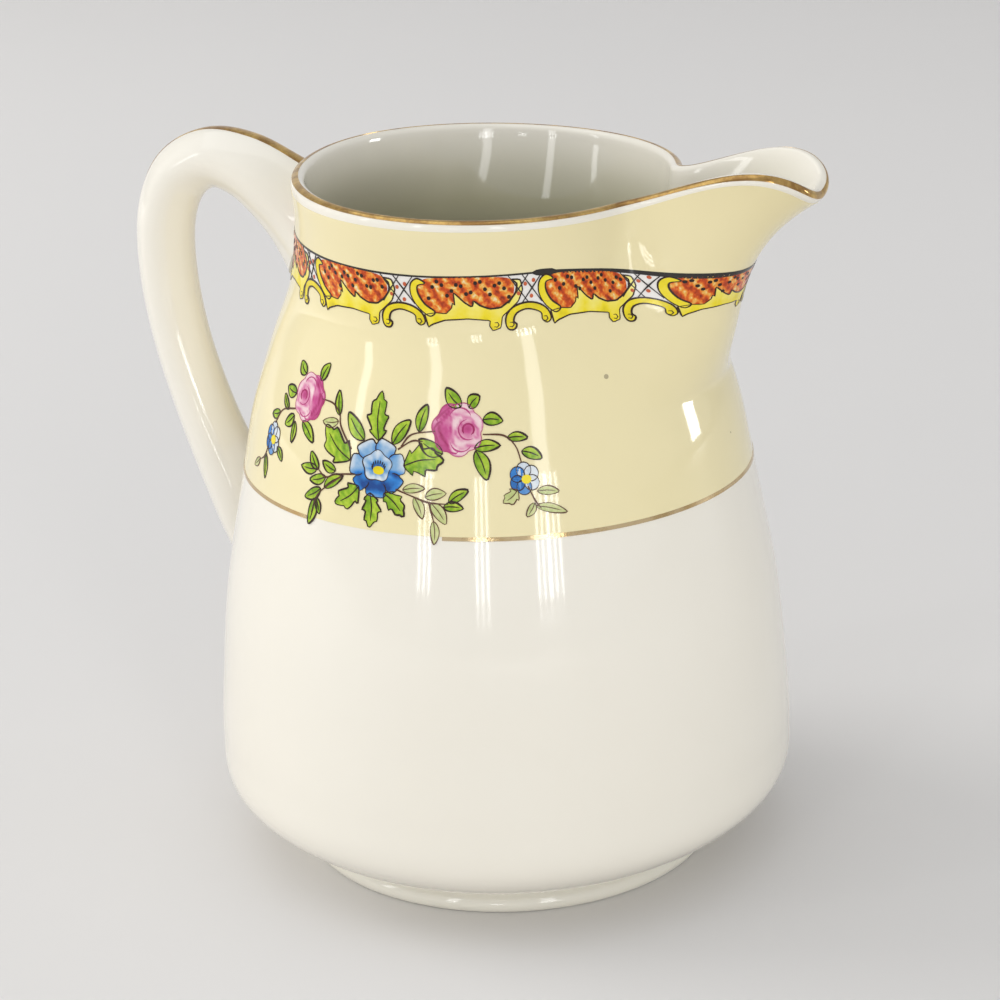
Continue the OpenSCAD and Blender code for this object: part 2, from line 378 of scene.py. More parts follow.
red_ink = enamel("dot_red", [(0.0, (0.4, 0.05, 0.02)), (1.0, (0.62, 0.16, 0.06))])
reserve = enamel("reserve_white", [(0.0, (0.76, 0.73, 0.69)), (1.0, (0.82, 0.79, 0.75))], 0.1, 60.0)
bright_gold = gilding("bright_gold", (0.78, 0.53, 0.18), (0.3, 0.16, 0.045), 0.4)
pale_gold = gilding("pale_gold_line", (0.52, 0.35, 0.15), (0.6, 0.46, 0.26), 0.45)
print("enamels and gold made")

# %% [markdown]
# ## The shell
# The body is one closed surface: out under the base, up the outside, over the rounded edge of the
# mouth, down the inside and across the floor. The wall thins from belly to mouth, as a cast wall does
# where it is sponged.

# %% Body shell
def wall_at(t):
    return wall + (edge_wall - wall) * ease((t - THIN_T) / (LAST - THIN_T))


def flat_rings(ring, shares, rise):
    """Rings shrinking to the middle of a disc, domed by rise."""
    return [np.column_stack([ring[:, :2] * s, ring[:, 2] + rise * (1 - s * s)]) for s in shares]


def mouth_arc(d, first=0, final=180, count=11):
    """Rings over the mouth's edge, d outside its clay, between two angles of the rounding."""
    middle = lifted(ANGLES, LAST, -edge_wall / 2)
    side, up = outward(ANGLES, LAST), upward(ANGLES, LAST)
    turns = np.radians(np.linspace(first, final, count))
    return [middle + side * (edge_wall / 2 + d) * math.cos(g) + up * (0.9 + d) * math.sin(g) for g in turns]


outside = [skin(ANGLES, t) for t in np.linspace(0, LAST, 150)]
inside = [lifted(ANGLES, t, -wall_at(t)) for t in np.linspace(LAST, 1.0, 90)]
under = flat_rings(outside[0], (0.02, 0.3, 0.6, 0.85, 0.96), 0.5)
floor = flat_rings(inside[-1], (0.97, 0.9, 0.7, 0.45, 0.2, 0.02), -0.4)
shell_rings = under + outside + mouth_arc(0)[1:-1] + inside + floor
# This share runs from 0 on the outside to 1 a dozen rings down the inner wall and over the floor. It sets how
# much painted shade darkens the glaze there.
inside_shade_share = np.r_[np.zeros(len(under + outside) + 9), np.clip(np.arange(len(inside + floor)) / 12, 0, 1)]
body = loft("body_shell", shell_rings, shell_glaze,
            ends=[(0, 0, shell_rings[0][0][2]), (0, 0, shell_rings[-1][0][2])], sharp=80,
            tones=np.r_[np.repeat(inside_shade_share, AROUND), 0, 1])
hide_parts("vessel")

# %% [markdown]
# ## The foot
# The jug stands on a low ring, turned with the body: a bare narrow land, a rounded outer edge and a
# hollow sweep up into the belly. A short outline turned round the axis gives it.

# %% Foot ring
FOOT = np.array([
    [foot_r - 4.2, foot_h + 0.3], [foot_r - 3.7, foot_h - 0.8], [foot_r - 3.4, 1.2], [foot_r - 3.0, 0.35],
    [foot_r - 2.4, 0], [foot_r - 1.0, 0], [foot_r - 0.35, 0.3], [foot_r, 1.1], [foot_r - 0.25, 2.0],
    [foot_r - 0.9, 2.8], [foot_r - 1.15, foot_h], [foot_r - 1.1, foot_h + 0.6]])
foot_outline = spline(FOOT, np.linspace(0, len(FOOT) - 1, 56))
foot_outline[:, 1] = np.clip(foot_outline[:, 1], 0, None)
spin = np.radians(np.linspace(0, 360, 220, endpoint=False))
foot_rings = [np.column_stack([r * np.cos(spin), r * np.sin(spin), np.full(len(spin), z)])
              for r, z in foot_outline]
foot = loft("foot_turned", foot_rings, foot_glaze, joined=True, sharp=80)
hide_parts("foot_ring")

# %% [markdown]
# ## The handle
# The handle is a strap of clay bent into an ear. It could be a curve with a round bevel, but the real
# section is a soft oval with a low ridge, and it spreads where it meets the body. So the section is
# swept along a spline, and it swells near both ends like a fillet of slip.

# %% Handle sweep
ROUTE = np.array([
    [-26.4, 90.0, 7.4, 5.6], [-32.4, 94.6, 5.8, 4.9], [-38.6, 98.4, 4.8, 4.6], [-44.6, 99.4, 4.2, 4.6],
    [-50.0, 96.4, 4.2, 4.6], [-52.9, 90.0, 4.2, 4.6], [-53.2, 81.0, 4.2, 4.6], [-51.6, 71.0, 4.2, 4.6],
    [-48.4, 60.6, 4.4, 4.6], [-44.6, 51.2, 4.8, 4.7], [-41.4, 43.0, 4.6, 4.8], [-37.6, 35.0, 3.9, 5.0],
    [-34.0, 27.0, 3.2, 5.0]])
SECTION = 56


def handle_at(s):
    """Centre, direction out of the loop, half thickness and half width at s from 0 to 1."""
    t = s * (len(ROUTE) - 1)
    here = spline(ROUTE, t)
    run = spline(ROUTE, t + 0.02) - spline(ROUTE, t - 0.02)
    run = run[:2] / np.linalg.norm(run[:2])
    ends = math.exp(-s / 0.035) * 1.0 + math.exp(-(1 - s) / 0.05) * 1.2
    return here[:2], np.array([run[1], -run[0]]), here[2] + ends, here[3] + 1.4 * ends


def handle_point(s, g, d=0.0):
    """Point on the handle at s, turned g degrees from its back, d outside it."""
    centre, out, thick, wide = handle_at(s)
    c, w = math.cos(math.radians(g)), math.sin(math.radians(g))
    ridge = 1 + 0.05 * math.cos(math.radians(4 * g))
    u = (thick * ridge + d) * math.copysign(abs(c) ** 0.92, c)
    v = (wide * ridge + d) * math.copysign(abs(w) ** 0.92, w)
    return centre[0] + out[0] * u, v, centre[1] + out[1] * u


def sunk(p):
    """How far a point of the handle is inside the body's skin."""
    a = math.degrees(math.atan2(p[1], p[0]))
    return np.hypot(*skin(a, position_at(a, min(p[2], 99.0)))[:2]) - math.hypot(p[0], p[1])


def enters(g, near, far, depth=1.1):
    """Where along the handle, between near and far, its surface at g reaches that depth in the wall."""
    for _ in range(22):
        middle = (near + far) / 2
        if sunk(handle_point(middle, g)) > depth:
            near = middle
        else:
            far = middle
    return near


turns = [360 * k / SECTION for k in range(SECTION)]
starts = [enters(g, 0.0, 0.22) for g in turns]
stops = [enters(g, 1.0, 0.55) for g in turns]
shares = np.linspace(0, 1, 170)
handle_rings = [[handle_point(a + (b - a) * s, g) for g, a, b in zip(turns, starts, stops)] for s in shares]
handle = loft("handle_strap", handle_rings, handle_glaze,
              ends=[np.mean(handle_rings[0], axis=0), np.mean(handle_rings[-1], axis=0)], sharp=80)
print("handle leaves the wall at", round(min(starts), 3), "to", round(max(starts), 3), "of its length")
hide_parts("handle")

# %% [markdown]
# ## Laying a thin layer on the clay
# Each fired layer is a thin closed solid. Bands run right round: their rings go up on the outer face
# and down on the inner one. The cream ground is two such bands, with the white border between them.

# %% Ground, reserve and gold line
GROUND, PAINT, INK = 0.05, 0.09, 0.13


def band(name, low, high, inner, outer, finish, rows=24, tones=None):
    """low and high are outline positions, as numbers or one for each angle."""
    low, high = np.broadcast_to(low, AROUND), np.broadcast_to(high, AROUND)
    shares = np.linspace(0, 1, rows)
    up = [lifted(ANGLES, low + (high - low) * s, outer) for s in shares]
    down = [lifted(ANGLES, low + (high - low) * s, inner) for s in shares[::-1]]
    rings = up + down
    points = [p for ring in rings for p in ring]
    return make_piece(name, points, ring_faces(len(rings), AROUND, joined=True), finish, tones)


neck_at = position_at(ANGLES, sag(ANGLES, NECK_Z))
cream_at = position_at(ANGLES, sag(ANGLES, BORDER_Z + 2.6))
edge_run = np.linalg.norm(skin(ANGLES, LAST) - skin(ANGLES, LAST - 0.1), axis=-1) / 0.1
cream_top = LAST - (0.3 + 0.55 * ease((np.abs((ANGLES + 180) % 360 - 180) - 60) / 90)) / edge_run
lower_ground = band("cream_ground_body", SHOULDER_T, cream_at, -0.02, GROUND, cream_glaze, 60)
upper_ground = band("cream_ground_neck", neck_at, cream_top, -0.02, GROUND, cream_glaze)
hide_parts("cream_ground")
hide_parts("cream_ground")
white_band = band("border_reserve", cream_at, neck_at, -0.02, GROUND, reserve,
                  tones=np.full(48 * AROUND, 0.5))
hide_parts("border_print")


def wander(a, size, seed):
    """A hand's unsteadiness: a few slow waves round the jug."""
    return size * sum(np.sin(np.radians(a) * k + seed * k * k) / k for k in (2, 5, 9, 17))


def part_band(name, first, last, low, high, inner, outer, finish, count):
    """A band round part of the jug only, from one angle to another, closed at both ends."""
    a = np.linspace(first, last, count)
    low, high = low(a), high(a)
    corners = [lifted(a, low, inner), lifted(a, low, outer), lifted(a, (low + high) / 2, outer),
               lifted(a, high, outer), lifted(a, high, inner)]
    rings = [[c[i] for c in corners] for i in range(count)]
    faces = [tuple(reversed(f)) for f in ring_faces(count, 5)] + [(0, 1, 2, 3, 4)]
    faces.append(tuple(5 * count - 1 - k for k in range(5)))
    return make_piece(name, [p for ring in rings for p in ring], faces, finish)


gold_line = part_band("gold_ground_line", -78.2, 248.5, lambda a: SHOULDER_T - 0.052 - wander(a, 0.006, 1.0),
                      lambda a: SHOULDER_T + 0.006 + wander(a, 0.005, 2.0), -0.02, PAINT, pale_gold,
                      420)
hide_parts("ground_line")
joint = (np.abs(((ANGLES + 180) % 360) - 180 + 53) < 2.5) * 0.03
thick_side = ease((((ANGLES + 180) % 360) - 180 + 56) / 3)
line_half = 0.018 + 0.02 * thick_side + wander(ANGLES, 0.004, 3.0) + joint
neck_line = band("dark_neck_line", neck_at - line_half, neck_at + line_half, -0.02, PAINT, black_ink,
                 4, tones=np.full(8 * AROUND, 0.3))
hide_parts("neck_line")

# %% [markdown]
# ## Gilding
# The gilder runs a loaded brush round the edge of the mouth and once along the back of the handle. The
# rim's gold wraps over the rounded edge, so it is a band that shares the edge's own arc.

# %% Gold on the mouth and handle
edge_rings = mouth_arc(0.05, 40, 100, 12) + mouth_arc(-0.03, 40, 100, 12)[::-1]
rim_gold = loft("gold_mouth_edge", edge_rings, bright_gold, joined=True)
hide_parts("rim_gilding")

stroke_rings = []
for s in np.linspace(starts[0] + 0.006, 0.5, 90):
    spread = (15 - 16 * s) * (1 + 0.12 * math.sin(40 * s)) * (1 if s < 0.42 else (0.5 - s) / 0.08 + 0.05)
    top = [handle_point(s, g, 0.05) for g in np.linspace(spread, -spread, 9)]
    stroke_rings.append(top + [handle_point(s, g, -0.03) for g in np.linspace(-spread, spread, 9)])
handle_gold = loft("gold_handle_stroke", stroke_rings, bright_gold,
                   ends=[np.mean(stroke_rings[0], axis=0), np.mean(stroke_rings[-1], axis=0)])
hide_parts("handle_gilding")

# %% [markdown]
# ## A printer's toolkit
# The prints are drawn flat, in millimetres across and up from a centre, then laid on the skin. A
# `Print` gathers many small shapes of one colour. `fill` triangulates an outline finely enough to bend
# round the jug, and `stroke` makes a tapered line.

# %% Flat drawing laid on the skin
class Print:
    def __init__(self, angle, height, radius):
        self.angle = angle
        self.height = height
        self.radius = radius
        self.points = []
        self.faces = []
        self.tones = []

    def on_jug(self, flat, lift):
        a = self.angle + np.degrees(flat[:, 0] / self.radius)
        return lifted(a, position_at(a, sag(a, self.height + flat[:, 1])), lift)

    def _add(self, top, bottom, faces, tones):
        base = len(self.points)
        self.points += list(top) + list(bottom)
        self.faces += [tuple(base + i for i in f) for f in faces]
        self.tones += list(tones) * 2

    def fill(self, edge, tone=0.5, lift=PAINT, under=GROUND - 0.02, grain=0.75):
        """A closed outline filled with paint. tone is a number or a function of the flat points."""
        edge = np.asarray(edge, float)
        low, high = edge.min(0), edge.max(0)
        grid = np.stack(np.meshgrid(np.arange(low[0], high[0], grain), np.arange(low[1], high[1], grain)), -1)
        inner = [p for p in grid.reshape(-1, 2) if within(p, edge) and clearance(p, edge) > 0.35 * grain]
        flat = [Vector(p) for p in edge] + [Vector(p) for p in inner]
        sides = [(i, (i + 1) % len(edge)) for i in range(len(edge))]
        found, _, tris, *_ = delaunay_2d_cdt(flat, sides, [], 1, 1e-6)
        if not tris:
            return
        flat = np.array([tuple(p) for p in found])
        tris = [f if turn_of(flat[list(f)]) > 0 else tuple(reversed(f)) for f in tris]
        used = sorted({i for f in tris for i in f})
        index = {old: new for new, old in enumerate(used)}
        flat = flat[used]
        tris = [tuple(index[i] for i in f) for f in tris]
        n = len(flat)
        once = {}
        for f in tris:
            for a, b in zip(f, f[1:] + f[:1]):
                if (b, a) in once:
                    del once[(b, a)]
                else:
                    once[(a, b)] = True
        faces = tris + [tuple(n + i for i in reversed(f)) for f in tris]
        faces += [(b, a, n + a, n + b) for a, b in once]
        tones = tone(flat) if callable(tone) else np.full(n, tone)
        self._add(self.on_jug(flat, lift), self.on_jug(flat, under), faces, np.clip(tones, 0, 1))

    def stroke(self, path, width, taper=(0.25, 0.25), tone=0.4, lift=INK, under=GROUND - 0.02, wobble=0.0):
        """A line along a path; taper is the share of its width left at each end."""
        path = smooth_path(path)
        run = np.gradient(path, axis=0)
        side = unit(np.column_stack([-run[:, 1], run[:, 0]]))
        s = np.linspace(0, 1, len(path))
        swell = np.sin(np.pi * s) ** 0.6
        shape = np.where(s < 0.5, taper[0], taper[1])
        half = width / 2 * (shape + (1 - shape) * swell) * (1 + wobble * np.sin(9 * s + path[0, 0] * 7))
        left, right = path + side * half[:, None], path - side * half[:, None]
        n = len(path)
        flat = np.vstack([right, left])
        top = [(i, i + 1, n + i + 1, n + i) for i in range(n - 1)]
        faces = top + [tuple(2 * n + j for j in reversed(f)) for f in top]
        rim = list(range(n)) + list(range(2 * n - 1, n - 1, -1))
        faces += [(b, a, 2 * n + a, 2 * n + b) for a, b in zip(rim, rim[1:] + rim[:1])]
        self._add(self.on_jug(flat, lift), self.on_jug(flat, under), faces, np.full(2 * n, tone))

    def piece(self, name, finish, slot, stands_for=None):
        made = make_piece(name, self.points, self.faces, finish, self.tones)
        if stands_for:
            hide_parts(stands_for)
        return made


def within(p, edge):
    x, y = p
    a, b = edge, np.roll(edge, -1, 0)
    crosses = (a[:, 1] > y) != (b[:, 1] > y)
    rise = np.where(crosses, b[:, 1] - a[:, 1], 1)
    return np.count_nonzero(crosses & (x < (b[:, 0] - a[:, 0]) * (y - a[:, 1]) / rise + a[:, 0])) % 2 == 1


def clearance(p, edge):
    a, b = edge, np.roll(edge, -1, 0)
    d = b - a
    t = np.clip(((p - a) * d).sum(1) / (d * d).sum(1), 0, 1)
    return np.hypot(*(p - a - d * t[:, None]).T).min()


def turn_of(p):
    a, b = p[1] - p[0], p[2] - p[0]
    return a[0] * b[1] - a[1] * b[0]


def smooth_path(path, gap=0.35):
    path = np.asarray(path, float)
    length = np.hypot(*np.diff(path, axis=0).T).sum()
    count = max(4, int(length / gap) + 1)
    return spline(path, np.linspace(0, len(path) - 1, count))


def closed_path(path, gap=0.35):
    """A smooth closed outline through the points, without repeating the first."""
    path = np.asarray(path, float)
    n = len(path)
    length = np.hypot(*(np.roll(path, -1, 0) - path).T).sum()
    wrapped = np.vstack([path[-2:], path, path[:3]])
    return spline(wrapped, np.linspace(2, n + 2, max(8, int(length / gap)), endpoint=False))


print("printer's toolkit ready")

# %% [markdown]
# ## Leaves, roses and blue flowers
# Each motif has a paint shape, a few darker marks and an ink outline. A leaf is a pointed oval with a
# midrib, drawn from its base to its tip; a lobed leaf has shoulders. A rose is a round of pink with
# crescent petals round a tight dark heart, and the blue flower has ruffled petals and a yellow eye.

# %% Motifs
class Spray:
    """The separate colours of one flower spray."""

    def __init__(self, angle, height):
        self.leaf, self.pale, self.blue, self.pink, self.yellow, self.ink, self.stem, self.mark = (
            Print(angle, height, 36.0) for _ in range(8))

    def add_leaf(self, base, tip, width, lobes=0, faint=False, bend=0.12):
        base, tip = np.array(base, float), np.array(tip, float)
        run = tip - base
        length = np.linalg.norm(run)
        run, side = run / length, np.array([-run[1], run[0]]) / length
        s = np.linspace(0, 1, 41 if lobes else 15)
        half = width / 2 * np.sin(np.pi * s**0.85) ** 0.75
        if lobes:
            half = half * (0.68 + 0.5 * np.mod(s * (lobes + 0.4) + 0.25, 1) ** 1.6)
        drift = bend * width * np.sin(np.pi * s)
        left = base + run * (s * length)[:, None] + side * (half + drift)[:, None]
        right = base + run * (s * length)[:, None] - side * (half - drift)[:, None]
        edge = closed_edge(np.vstack([left, right[-2:0:-1]]), 0.22 if lobes else 0.35)

        def tone(p):
            along = ((p - base) @ run) / length
            across = ((p - base) @ side - bend * width * 0.5) / width
            patch = 0.2 * np.sin(5.3 * p[:, 0] + 2.1 * p[:, 1]) * np.sin(3.7 * p[:, 1] - 1.3 * p[:, 0])
            return 0.42 + 0.2 * along + 0.35 * across + patch

        (self.pale if faint else self.leaf).fill(edge, tone, grain=0.55)
        rib = [base + run * length * u + side * bend * width * math.sin(math.pi * u) for u in (0, 0.4, 0.8)]
        ink = self.stem if faint else self.ink
        ink.stroke(rib, 0.12 if faint else 0.17, (0.8, 0.2))
        ink.stroke(np.vstack([edge, edge[:1]]), 0.14 if faint else 0.22, (0.6, 0.6), wobble=0.35)

    def add_stem(self, path, width=0.22):
        self.stem.stroke(path, width, (0.9, 0.5), wobble=0.2)

    def add_rose(self, x, y, size, squeeze=1.0, turn=1.0):
        """turn is +1 with the heart to the right and -1 with it to the left."""
        def at(u, v):
            return np.array([x + turn * u * size * squeeze, y + v * size])

        ball = closed_path([at(r * math.cos(g), r * math.sin(g)) for g in np.linspace(0, 2 * math.pi, 49)[:-1]
                            for r in [0.9 + 0.12 * abs(math.sin(3.5 * g + 0.5))]], 0.3)

        def tone(p):
            u = (p[:, 0] - x) / (size * squeeze) * turn
            v = (p[:, 1] - y) / size
            reach, g = np.hypot(u - 0.38, v), np.arctan2(v, u - 0.38)
            seam = sum(np.exp(-(((reach - r - 0.07 * np.sin(k * g + k)) / 0.05) ** 2))
                       for r, k in ((0.4, 3), (0.68, 4), (1.02, 5)))
            outer = 0.62 * ease((-0.1 - u) / 0.35) * (1 - 0.5 * np.exp(-(((v - 0.3) / 0.18) ** 2)))
            dark = 0.75 * np.exp(-((reach / 0.27) ** 2))
            return 0.9 - outer - dark - 0.4 * seam + 0.08 * np.sin(6 * u + 2) * np.sin(7 * v)

        self.pink.fill(ball, tone, grain=0.35)
        folds = (  # middle, radius, first and last angle, width, tone
            (0.42, 0.0, 0.22, -60, 220, 0.3, 0.05), (0.42, 0.0, 0.38, 100, 300, 0.2, 0.2),
            (0.1, 0.35, 0.45, 20, 160, 0.2, 0.22), (0.15, -0.4, 0.42, 190, 330, 0.2, 0.25),
            (0.72, 0.0, 0.36, -70, 80, 0.16, 0.3), (-0.35, 0.42, 0.45, 60, 200, 0.25, 0.2),
            (-0.42, -0.15, 0.5, 120, 250, 0.3, 0.12), (-0.2, -0.58, 0.34, 180, 330, 0.2, 0.22),
            (0.5, -0.5, 0.35, 230, 350, 0.16, 0.3))
        for u, v, radius, start, stop, wide, shade in folds:
            arc = [at(u + radius * math.cos(math.radians(g)), v + radius * math.sin(math.radians(g)))
                   for g in np.linspace(start, stop, 9)]
            arc = [p for p in arc if np.hypot((p[0] - x) / squeeze, p[1] - y) < 0.93 * size]
            if len(arc) > 2:
                self.mark.stroke(arc, wide, (0.2, 0.2), shade, lift=INK - 0.02, wobble=0.3)
        self.mark.stroke(np.vstack([ball, ball[:1]]), 0.12, (0.6, 0.6), 0.15, wobble=0.4)

    def add_blue_flower(self, x, y, size, squeeze=1.0):
        def at(r, g, lift=0.0):
            return np.array([x + squeeze * size * r * math.cos(g), y + size * (lift + r * math.sin(g))])

        notches = [math.radians(g) for g in (-12, 42, 96, 150, 204, 243, 297, 348)]
        rim = []
        for a, b in zip(notches, notches[1:]):
            rim += [at(r, a + (b - a) * u) for u, r in ((0, 0.8), (0.16, 0.97), (0.5, 0.98), (0.84, 1.0))]
        rim = closed_path(rim, 0.3)

        def petals(p):
            u, v = (p[:, 0] - x) / (squeeze * size), (p[:, 1] - y) / size
            reach, g = np.hypot(u, v), np.arctan2(v, u)
            edge = 0.28 * ease((reach - 0.72) / 0.25)
            seam = sum(np.exp(-(((g - n + math.pi) % (2 * math.pi) - math.pi) / 0.16) ** 2) for n in notches)
            low = 0.25 * np.exp(-(((v + 0.62) / 0.2) ** 2))
            return 0.26 + 0.38 * ease((v + 0.45) / 0.5) + edge - 0.25 * seam - low

        self.blue.fill(rim, petals, grain=0.32)
        self.ink.stroke(np.vstack([rim, rim[:1]]), 0.15, (0.6, 0.6), wobble=0.35)
        for n in notches[:-1]:
            self.ink.stroke([at(0.82, n), at(0.66, n + 0.05), at(0.56, n)], 0.16, (0.9, 0.3))
        cup = closed_path([at((0.5 + 0.05 * math.sin(5 * g)), g, 0.07)
                           for g in np.linspace(0, 2 * math.pi, 24)[:-1]], 0.3)

        def cup_tone(p):
            u, v = (p[:, 0] - x) / (squeeze * size), (p[:, 1] - y) / size
            well = np.exp(-((u - 0.02) / 0.3) ** 2 - ((v - 0.04) / 0.22) ** 2)
            lip = 0.2 * np.exp(-(((v + 0.33) / 0.08) ** 2))
            return 0.82 - 0.85 * well + lip + 0.1 * np.sin(9 * np.arctan2(v, u))

        self.blue.fill(cup, cup_tone, lift=INK - 0.015, grain=0.28)
        self.ink.stroke(np.vstack([cup, cup[:1]]), 0.14, (0.6, 0.6), lift=INK + 0.01, wobble=0.35)
        eye = [at(0.17 + 0.03 * math.cos(2 * g), g, -0.06) + (0.08 * size, 0)
               for g in np.linspace(0, 2 * math.pi, 12, endpoint=False)]
        self.yellow.fill(eye, 0.35, lift=INK + 0.02, grain=0.3)
        for g in range(10, 200, 22):
            a = math.radians(g)
            spot = at(0.2, a, -0.04) + (0.07 * size, 0)
            self.ink.stroke([spot, spot + (0.05 * size * math.cos(a), 0.12 * size)], 0.17, (0.7, 0.5),
                            lift=INK + 0.03)

    def add_small_flower(self, x, y, size, squeeze=1.0):
        for g, shade in ((150, 0.3), (210, 0.15), (265, 0.4), (330, 0.95), (35, 1.0), (95, 0.9)):
            c, s = math.cos(math.radians(g)), math.sin(math.radians(g))
            middle = np.array([x + squeeze * size * 0.55 * c, y + size * 0.55 * s])
            edge = closed_path([middle + (squeeze * size * 0.5 * math.cos(b), size * 0.5 * math.sin(b))
                                for b in np.linspace(0, 2 * math.pi, 9, endpoint=False)])
            self.blue.fill(edge, shade, grain=0.5)
            self.ink.stroke(np.vstack([edge, edge[:1]]), 0.12, (0.6, 0.6), wobble=0.3)
        eye = [[x + squeeze * size * (0.12 + 0.34 * math.cos(g)), y + size * (-0.05 + 0.3 * math.sin(g))]
               for g in np.linspace(0, 2 * math.pi, 10, endpoint=False)]
        self.yellow.fill(eye, 0.4, lift=INK + 0.02, grain=0.3)

    def pieces(self, side, node):
        made = [self.leaf.piece(side + "_spray_leaves", green, "spray_enamel", node),
                self.pale.piece(side + "_spray_pale_leaves", pale_green, "spray_enamel"),
                self.blue.piece(side + "_spray_blue_petals", blue, "spray_enamel"),
                self.pink.piece(side + "_spray_roses", pink, "spray_enamel"),
                self.mark.piece(side + "_spray_rose_petals", pink, "spray_enamel"),
                self.yellow.piece(side + "_spray_yellow_eyes", yellow, "spray_enamel"),
                self.stem.piece(side + "_spray_stems", stem_ink, "spray_enamel"),
                self.ink.piece(side + "_spray_outlines", outline_ink, "spray_enamel")]
        return made


def closed_edge(points, gap=0.4):
    """Straight-sided resampling of a closed outline, which keeps its pointed tip."""
    points = np.asarray(points, float)
    loop = np.vstack([points, points[:1]])
    length = np.r_[0, np.cumsum(np.hypot(*np.diff(loop, axis=0).T))]
    at = np.linspace(0, length[-1], max(8, int(length[-1] / gap)), endpoint=False)
    return np.column_stack([np.interp(at, length, loop[:, i]) for i in (0, 1)])


print("motifs ready")

# %% [markdown]
# ## The flower spray
# The spray is centred on the blue flower, at the middle of each side of the jug. Roses sit above it to
# left and right, a small flower ends each trailing stem, and pale sprigs hang below over the gold line.
# The places are in millimetres from the blue flower. The same print is used on both sides.

# %% Front and back sprays
LEAVES = [  # base, tip, width, lobes, faint
    ((-0.1, 3.4), (-0.5, 9.6), 3.3, 3, 0), ((-2.4, 3.2), (-5.8, 6.4), 2.0, 0, 0),
    ((2.1, 3.2), (4.6, 6.4), 1.9, 0, 0), ((-4.4, 0.4), (-9.6, 4.2), 3.8, 2, 0),
    ((4.0, 0.6), (9.7, 1.6), 3.9, 3, 0), ((9.5, 2.4), (6.0, 4.1), 1.9, 0, 0),
    ((5.9, 5.0), (7.0, 8.5), 1.7, 0, 0), ((12.0, 8.3), (9.6, 10.6), 1.9, 0, 0),
    ((13.1, 8.2), (14.7, 9.7), 1.7, 0, 0), ((15.1, 6.7), (18.0, 6.5), 1.6, 0, 0),
    ((13.9, 3.2), (17.5, 3.5), 1.5, 0, 0), ((14.1, 2.9), (15.6, -0.9), 2.0, 0, 0),
    ((18.5, 4.4), (21.4, 4.3), 1.2, 0, 0), ((20.4, 2.7), (23.2, 1.6), 1.5, 0, 0),
    ((22.2, -2.5), (25.2, -2.8), 1.2, 0, 1), ((19.6, -2.2), (17.6, -3.8), 1.9, 2, 1),
    ((21.9, -4.4), (26.1, -5.6), 1.2, 0, 1), ((21.8, -4.0), (20.6, -5.8), 1.1, 0, 1),
    ((-9.9, -1.8), (-11.7, 0.4), 1.4, 0, 0), ((-10.1, -1.7), (-13.4, -1.9), 1.5, 0, 0),
    ((-6.7, -1.4), (-9.2, -0.5), 1.4, 0, 0), ((-8.4, -2.5), (-11.4, -3.4), 1.4, 0, 0),
    ((-8.5, -3.9), (-5.3, -1.8), 1.5, 0, 0), ((-9.1, -4.2), (-12.1, -5.9), 1.5, 0, 0),
    ((-9.9, -5.5), (-9.0, -7.7), 1.0, 0, 0), ((-10.1, -5.7), (-10.9, -9.4), 1.5, 0, 0),
    ((-2.6, -2.8), (-6.4, -5.6), 3.0, 2, 0), ((-0.8, -3.4), (-0.7, -8.0), 2.7, 3, 0),
    ((1.3, -3.2), (4.3, -6.0), 2.5, 3, 0), ((4.0, -2.5), (7.2, -2.1), 1.2, 0, 1),
    ((7.2, -3.2), (10.1, -2.6), 1.5, 0, 1), ((5.7, -3.3), (6.9, -6.1), 1.4, 0, 1),
    ((8.0, -3.9), (10.1, -6.7), 1.6, 0, 1), ((8.4, -6.3), (8.5, -9.4), 1.2, 0, 1),
    ((10.4, -3.8), (13.1, -2.1), 1.4, 0, 0), ((9.7, -4.4), (12.4, -4.5), 1.3, 0, 0),
    ((-16.3, 9.6), (-18.4, 11.0), 1.6, 0, 0), ((-12.5, 9.4), (-11.2, 11.8), 1.6, 0, 0),
    ((-17.7, 6.8), (-20.5, 7.2), 1.7, 0, 0), ((-14.7, 3.7), (-11.6, 1.4), 1.6, 0, 0),
    ((-18.8, 4.4), (-20.9, 6.2), 1.0, 0, 0), ((-21.0, 3.5), (-23.4, 2.9), 1.3, 0, 0),
    ((-17.0, 4.0), (-19.0, 2.4), 1.6, 0, 0), ((-16.5, 3.3), (-16.5, 0.4), 1.2, 0, 0),
    ((-19.9, -0.9), (-18.2, -2.6), 1.2, 0, 0), ((-23.2, -2.7), (-22.6, -6.1), 1.2, 0, 0),
    ((-25.1, -3.9), (-27.2, -5.4), 1.1, 0, 1), ((-7.4, 5.7), (-8.2, 8.9), 1.3, 0, 0),
    ((-7.4, 4.9), (-10.4, 4.5), 1.3, 0, 1)]
STEMS = [
    [(-4.4, 1.8), (-6.8, 4.4), (-7.4, 5.9), (-9.0, 7.0), (-11.4, 7.2)],
    [(3.4, 3.0), (4.9, 4.6), (8.3, 5.2)],
    [(3.0, 2.6), (5.0, 3.8), (6.6, 3.8)],
    [(15.1, 4.9), (18.0, 4.7), (19.6, 3.3), (20.3, 1.2)],
    [(-3.4, -1.3), (-6.5, -1.8), (-8.4, -2.5), (-10.1, -1.6)],
    [(-5.3, -1.7), (-8.1, -3.7), (-9.7, -5.3), (-10.5, -7.7)],
    [(3.0, -2.5), (5.3, -3.2), (7.7, -3.9), (10.4, -4.0)],
    [(7.7, -3.9), (8.4, -6.3)],
    [(-17.0, 4.9), (-20.4, 4.0), (-21.8, 1.9)],
    [(-22.8, -1.6), (-23.6, -3.2), (-25.4, -4.2)],
    [(21.0, -1.8), (21.8, -3.6), (22.6, -4.8)]]


